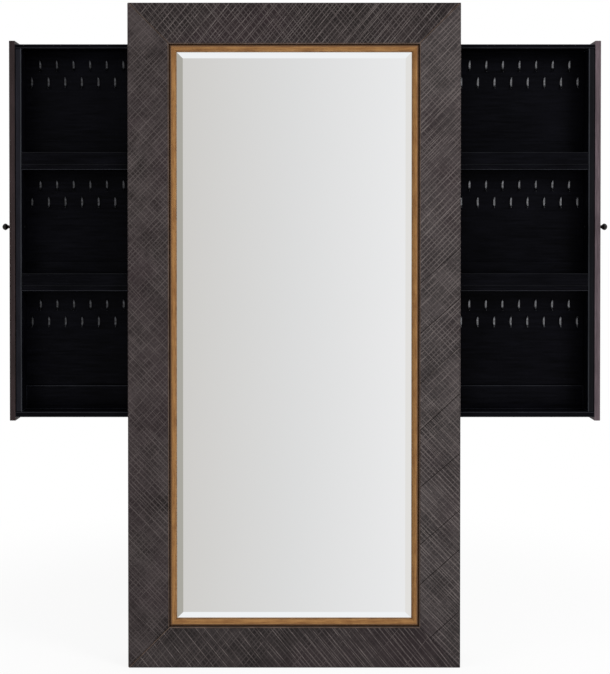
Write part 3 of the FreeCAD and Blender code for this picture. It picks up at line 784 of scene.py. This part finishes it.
# How far a row hangs below the ceiling, and how far its first hook is from the outer end.
UPPER_ROW = {"drop": 0.047, "start": 0.045}
LOWER_ROW = {"drop": 0.099, "start": 0.019}


def leaf():
    """One hook round the origin, with its back on the plane Y = 0 and its tips towards the front."""
    height, reach, half = LEAF_STATIONS[0]
    piece = cube((-half, -reach - LEAF_GAUGE, height - SLIVER), (half, -reach, height))
    edit_faces(piece, lambda face: face.normal.z > FLAT)
    for (z, y, wide), (next_z, next_y, next_wide) in zip(LEAF_STATIONS, LEAF_STATIONS[1:]):
        step = (0, y - next_y, next_z - z)
        bpy.ops.mesh.extrude_region_move(TRANSFORM_OT_translate={"value": step})
        centre = (0, -next_y - LEAF_GAUGE / 2, next_z)
        bpy.ops.transform.resize(value=(next_wide / wide, 1, 1), center_override=centre)
    close()
    bpy.ops.object.shade_smooth_by_angle(angle=LEAF_SMOOTH_ANGLE)
    return piece


for side, sign in SIDES.items():
    inner_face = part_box(f"{side}_outer_end")[0 if sign > 0 else 1].x
    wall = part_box(f"{side}_drawer_back")[0].y
    master = leaf()
    row = master.modifiers.new("row", "ARRAY")
    row.count = HOOKS_IN_ROW
    row.use_relative_offset = False
    row.use_constant_offset = True
    row.constant_offset_displace = (-sign * HOOK_PITCH, 0, 0)
    bpy.ops.object.modifier_apply(modifier="row")
    rows = []
    for ceiling in ceilings[side]:
        for spot in (UPPER_ROW, LOWER_ROW):
            place = (inner_face - sign * spot["start"], wall, ceiling - spot["drop"])
            rows.append(copy_to(master, place))
    bpy.data.objects.remove(master)
    hooks = join(rows)
    take_over(hooks, f"{side}_hooks", hook_lit_and_shaded[side])
    print(side, "hooks:", HOOKS_IN_ROW * len(rows), "faces:", len(hooks.data.polygons))

# %% [markdown]
# ## Turned pieces
# Knobs and screw heads are turned on a lathe. A spin of a drawn profile would do, and so does what is
# used here: a round face is extruded along its axis and scaled at every step, which follows the profile
# from one end to the other and leaves no seam to merge. A profile is a list of distances along the axis
# with the radius there. The knob is a drop on a slim stem.

# %% A lathe made of extrusions
TURNED_SMOOTH_ANGLE = 0.7


def turned(start, axis, profile, sides):
    """A round piece from its (distance, radius) profile along an axis, closed at both ends."""
    axis = Vector(axis)
    base = Vector(start) + axis * profile[0][0]
    bpy.ops.object.select_all(action="DESELECT")
    bpy.ops.mesh.primitive_circle_add(
        vertices=sides, radius=profile[0][1], fill_type="NGON", location=base,
        rotation=axis.to_track_quat("Z", "Y").to_euler(),
    )
    bpy.ops.object.transform_apply(location=True, rotation=True, scale=True)
    piece = bpy.context.object
    edit(piece)
    bpy.ops.mesh.select_mode(type="FACE")
    bpy.ops.mesh.select_all(action="SELECT")
    for (place, radius), (next_place, next_radius) in zip(profile, profile[1:]):
        bpy.ops.mesh.extrude_region_move(TRANSFORM_OT_translate={"value": axis * (next_place - place)})
        ratio = next_radius / radius
        centre = Vector(start) + axis * next_place
        bpy.ops.transform.resize(value=(ratio, ratio, ratio), center_override=centre)
    bpy.ops.mesh.select_all(action="SELECT")
    bpy.ops.mesh.normals_make_consistent(inside=False)
    close()
    bpy.ops.object.shade_smooth_by_angle(angle=TURNED_SMOOTH_ANGLE)
    return piece


KNOB_SIDES = 32
KNOB = [
    (0.0, 0.0052), (0.0008, 0.0054), (0.002, 0.0047), (0.006, 0.0041), (0.0105, 0.0042), (0.0135, 0.0051),
    (0.016, 0.0067), (0.018, 0.0085), (0.0195, 0.0097), (0.021, 0.0103), (0.0225, 0.0105), (0.0245, 0.0102),
    (0.0268, 0.0092), (0.0288, 0.0076), (0.0305, 0.0053), (0.0316, 0.0028), (0.032, 0.0007),
]
for side, sign in SIDES.items():
    low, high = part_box(f"{side}_knob")
    foot = (low + high) / 2
    foot.x = low.x if sign > 0 else high.x
    knob = turned(foot, sign * ACROSS, KNOB, KNOB_SIDES)
    take_over(knob, f"{side}_knob", bronze)
    print(side, "knob faces:", len(knob.data.polygons))

# %% [markdown]
# ## Screws with a cross
# The screws in the CAD model are plain cylinders. A real head has a cross to drive it by: two thin boxes
# taken out of the head with a Boolean modifier. The brackets and the knobs are held by screws with a
# domed head.

# %% Cross recess and Boolean cuts
CROSS_ARM = 0.0022
CROSS_HALF_WIDTH = 0.00055
CROSS_DEPTH = 0.0015
SCREW_SIDES = 20
HEAD_RADIUS = 0.004
DOME = [(0.0, 0.0026), (0.0004, 0.0033), (0.0012, 0.0039), (0.0022, HEAD_RADIUS), (0.0024, 0.0039)]
UNDER_HEAD = 0.00241
SHANK_RADIUS = 0.002
TIP_LENGTH = 0.004
TIP_RADIUS = 0.0004


def subtract(piece, cutter):
    """Cut the shape of one object out of another, and use it up."""
    pick(piece)
    bpy.ops.object.modifier_add(type="BOOLEAN")
    piece.modifiers[-1].object = cutter
    bpy.ops.object.modifier_apply(modifier=piece.modifiers[-1].name)
    bpy.data.objects.remove(cutter)
    bpy.ops.object.shade_smooth_by_angle(angle=BOARD_SMOOTH_ANGLE)


def crossed_screw(top, axis, profile):
    """A turned screw with a cross in its head; axis points from the head's top to the tip."""
    screw = turned(top, axis, profile, SCREW_SIDES)
    along = Vector(map(abs, axis))
    first = along.yzx
    second = along.zxy
    for wide, narrow in ((first, second), (second, first)):
        half = wide * CROSS_ARM + narrow * CROSS_HALF_WIDTH + along * CROSS_DEPTH
        subtract(screw, cube(top - half, top + half))
    return screw


def domed_screw(length):
    """Profile of a screw with a domed head, from its top to its tip."""
    shank = [(UNDER_HEAD, SHANK_RADIUS), (length - TIP_LENGTH, SHANK_RADIUS), (length, TIP_RADIUS)]
    return DOME + shank


low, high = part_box("wall_bracket_screws")
bracket_screws = []
for x in (low.x + HEAD_RADIUS, high.x - HEAD_RADIUS):
    top = Vector((x, (low.y + high.y) / 2, high.z))
    bracket_screws.append(crossed_screw(top, -UPWARDS, domed_screw(high.z - low.z)))
take_over(join(bracket_screws), "wall_bracket_screws", yellow_zinc)
for side, sign in SIDES.items():
    low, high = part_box(f"{side}_knob_screw")
    top = (low + high) / 2
    top.x = low.x if sign > 0 else high.x
    knob_screw = crossed_screw(top, sign * ACROSS, domed_screw(high.x - low.x))
    take_over(knob_screw, f"{side}_knob_screw", black_zinc)
print("domed screws:", len(bracket_screws) + len(SIDES))

# %% [markdown]
# The back panel is screwed to the case all round: along the bottom, the top and both dividers, up the
# lower sides and up the middle. The places come from the boards that the screws bite into. The heads are
# countersunk, so the panel gets a tapered hole for each of them; without it, the heads and the panel
# would share one flat face. All the holes are one joined cutter.

# %% Back panel with countersunk screws
SUNK = 0.0002
COUNTERSINK = [(-0.0004, 0.0049), (0.0027, 0.0021), (0.0095, 0.0021)]
WOOD_SCREW = [
    (0.0, 0.0038), (0.0003, HEAD_RADIUS), (0.0023, SHANK_RADIUS), (0.025, SHANK_RADIUS),
    (0.0297, TIP_RADIUS),
]
INTO_CASE = Vector((0, -1, 0))
# A row ends this many board thicknesses from the panel's edge.
ROW_INSET = 1.5
# Places of screws as shares of half a row, of the sides' height and of the middle's.
ROW_SHARES = (-1, -0.5, 0, 0.5, 1)
SIDE_SHARES = (1 / 3, 2 / 3)
MIDDLE_SHARES = (0.25, 0.5, 0.75)
low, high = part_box("back_panel")
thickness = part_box("case_bottom")[1].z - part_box("case_bottom")[0].z
reach = high.x - ROW_INSET * thickness
places = []
for node in ("case_bottom", "lower_divider", "upper_divider", "case_top"):
    level = (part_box(node)[0].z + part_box(node)[1].z) / 2
    places += [(reach * share, level) for share in ROW_SHARES]
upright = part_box("left_fascia")[0].z - thickness
for edge in (low.x + thickness / 2, high.x - thickness / 2):
    places += [(edge, thickness + upright * share) for share in SIDE_SHARES]
rack_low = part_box("left_drawer_bottom")[0].z
rack_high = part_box("left_drawer_top")[1].z
places += [(0.0, rack_low + (rack_high - rack_low) * share) for share in MIDDLE_SHARES]

panel = cube(low, high)
soften(panel, SANDED)
holes = [turned((x, high.y, z), INTO_CASE, COUNTERSINK, SCREW_SIDES) for x, z in places]
subtract(panel, join(holes))
take_over(panel, "back_panel", plywood)
first_x, first_z = places[0]
screws = [crossed_screw(Vector((first_x, high.y - SUNK, first_z)), INTO_CASE, WOOD_SCREW)]
for x, z in places[1:]:
    screws.append(copy_to(screws[0], (x - first_x, 0, z - first_z)))
take_over(join(screws), "back_panel_screws", yellow_zinc)
print("back panel screws:", len(places), "panel faces:", len(panel.data.polygons))

# %% [markdown]
# ## CAD pieces that keep their shape
# The trim, the plate and what lies behind it, the fascias, the slides and the brackets are already right,
# so they only get their finishes.

# %% Finishes for the CAD nodes
keepers = {
    "trim_top": gold_rails, "trim_bottom": gold_rails, "trim_left": gold_stiles, "trim_right": gold_stiles,
    "mirror_glass": mirror, "mirror_backing": hardboard, "retainer_strips": pine,
    "left_fascia": fascia_shaded_left, "right_fascia": fascia_lit_right, "wall_brackets": powder_coat,
}
for side in SIDES:
    for member in ("fixed", "middle", "inner"):
        keepers[f"{side}_slide_{member}"] = zinc
    keepers[f"{side}_slide_glides"] = nylon
for node, finish in keepers.items():
    paint(node, finish)
print("CAD nodes painted:", len(keepers))

# %% [markdown]
# ## Floor
# The photograph has a white ground with hardly a shadow. The floor is a large pale plane: seen by the
# camera it is mostly white light with some of the real shading mixed in near the object, so that the
# shadow stays and the far edge melts into the background. Mirror rays pass through it, so that the plate
# shows the plain studio and no horizon.

# %% White floor
WHITE = (1, 1, 1, 1)
FLOOR_SIZE = 60
FLOOR_DROP = 0.0005
SHADING = 0.12
SHADING_FADES = (1.0, 2.2)


def white_floor():
    """White light for the camera, a little shaded near the object, and matt paint for most other rays."""
    material, shader, place = new_finish("floor_white")
    x, y, _ = place.axes()
    away = x.math("SQRT", x * x + y * y)
    place.feed(shader, {
        "Base Color": mix(place.noise(1.2, 2.0), tint("f4f4f4"), tint("f7f7f7")),
        "Roughness": 0.9,
        "Specular IOR Level": 0.0,
    })
    matt = Wire(place.tree, shader.outputs[0])
    white = place.node("ShaderNodeEmission", {}, {"Color": WHITE, "Strength": 1.0})
    clear = place.node("ShaderNodeBsdfTransparent", {}, {})
    rays = place.rays()
    shaded = (1 - away.step(*SHADING_FADES)) * SHADING
    shown = 1 - (1 - shaded) * rays["Is Camera Ray"]
    surface = place.node("ShaderNodeMixShader", {}, {0: shown, 1: white, 2: matt})
    through = place.node("ShaderNodeMixShader", {}, {0: rays["Is Glossy Ray"], 1: surface, 2: clear})
    place.feed(material.node_tree.nodes["Material Output"], {"Surface": through})
    return material


bpy.ops.object.select_all(action="DESELECT")
bpy.ops.mesh.primitive_plane_add(size=FLOOR_SIZE, location=(0, 0, -FLOOR_DROP))
floor = bpy.context.object
floor.name = "floor"
bpy.ops.object.transform_apply(location=True, rotation=True, scale=True)
floor.data.materials.append(white_floor())
print("floor:", floor.name)

# %% [markdown]
# ## Studio light
# The world gives an even soft light. Seen directly it is white, and in the mirror it is a soft grey that
# brightens from left to right, as in a studio with a lit wall on the right, with a bright ceiling and a
# bright floor for the bevels at the top and the bottom. A large lamp from the upper right adds direction
# and a weaker one fills the left. Both stay out of reflections, so that no view shows a hard white disc
# in the plate.

# %% World and lamps
AMBIENT = 0.62
# The greys that the mirror sees from left to right, by the X of the direction.
GREYS = [
    (-0.30, "a8a69f"), (-0.17, "adaba2"), (-0.1, "cfcdca"),
    (0.0, "dddddd"), (0.1, "ececed"), (0.17, "e3e1de"),
]
BRIGHT = "f0f2f4"
CEILING_STARTS = (0.19, 0.26)
FLOOR_STARTS = (-0.44, -0.36)
LAMPS = {
    "key": {"place": (3.4, -3.0, 3.2), "target": (0, 0, 1.1), "size": 1.8, "power": 130},
    "fill": {"place": (-3.2, -2.6, 2.2), "target": (0, 0, 1.0), "size": 2.2, "power": 40},
}


def studio():
    """A world that is white to the camera, grey walls to the mirror and an even light to all the rest."""
    world = bpy.data.worlds.new("studio")
    world.use_nodes = True
    root = Wire(world.node_tree)
    x, _, z = root.node("ShaderNodeTexCoord", {}, {}, out="Generated").axes()
    grey = tint(GREYS[0][1])
    for (start, _), (end, shade) in zip(GREYS, GREYS[1:]):
        ramp = {"Value": x, "From Min": start, "From Max": end}
        grey = mix(x.node("ShaderNodeMapRange", {}, ramp), grey, tint(shade))
    above = z.step(*CEILING_STARTS)
    below = 1 - z.step(*FLOOR_STARTS)
    grey = mix(above.math("MAXIMUM", above, below), grey, tint(BRIGHT))
    soft = root.node("ShaderNodeBackground", {}, {"Color": WHITE, "Strength": AMBIENT})
    seen = root.node("ShaderNodeBackground", {}, {"Color": WHITE, "Strength": 1.0})
    wall = root.node("ShaderNodeBackground", {}, {"Color": grey, "Strength": 1.0})
    rays = root.rays()
    mirrored = root.node("ShaderNodeMixShader", {}, {0: rays["Is Glossy Ray"], 1: soft, 2: wall})
    direct = root.math("MAXIMUM", rays["Is Camera Ray"], rays["Is Transmission Ray"])
    whole = root.node("ShaderNodeMixShader", {}, {0: direct, 1: mirrored, 2: seen})
    root.feed(world.node_tree.nodes["World Output"], {"Surface": whole})
    return world


def lamp(name, place, target, size, power):
    """A large soft lamp that faces a point and stays out of reflections."""
    way = Vector(target) - Vector(place)
    turn = way.to_track_quat("-Z", "Y").to_euler()
    bpy.ops.object.light_add(type="AREA", location=place, rotation=turn)
    light = bpy.context.object
    light.name = name
    light.data.shape = "DISK"
    light.data.size = size
    light.data.energy = power
    light.visible_glossy = False


bpy.context.scene.world = studio()
for name, settings in LAMPS.items():
    lamp(name, **settings)

# %% [markdown]
# ## Camera
# The photograph looks straight at the mirror from a good three and a half metres, at about two thirds of
# its height. The verticals close in very slightly towards the floor, which is a camera tipped down by
# well under a degree; the rest of the framing, off to the side and down to the floor, is lens shift. The
# two pixel values are the column of the mirror's middle and the row that the camera's axis meets.

# %% Camera
PICTURE = (610, 674)
MIDDLE_PIXEL = 294.2
PRINCIPAL_PIXEL = 244.0
DISTANCE = 3.733
EYE_LEVEL = 1.337
TILT = math.radians(0.62)
FOCAL_LENGTH = 64.19
SENSOR_WIDTH = 36
long_side = max(PICTURE)
bpy.ops.object.camera_add(location=(0, -DISTANCE, EYE_LEVEL), rotation=(math.pi / 2 - TILT, 0, 0))
camera = bpy.context.object
camera.data.lens = FOCAL_LENGTH
camera.data.sensor_width = SENSOR_WIDTH
camera.data.shift_x = (PICTURE[0] / 2 - MIDDLE_PIXEL) / long_side
camera.data.shift_y = (PRINCIPAL_PIXEL - PICTURE[1] / 2) / long_side
bpy.context.scene.camera = camera
bpy.context.scene.view_settings.view_transform = "Standard"
print("camera shift:", round(camera.data.shift_x, 4), round(camera.data.shift_y, 4))
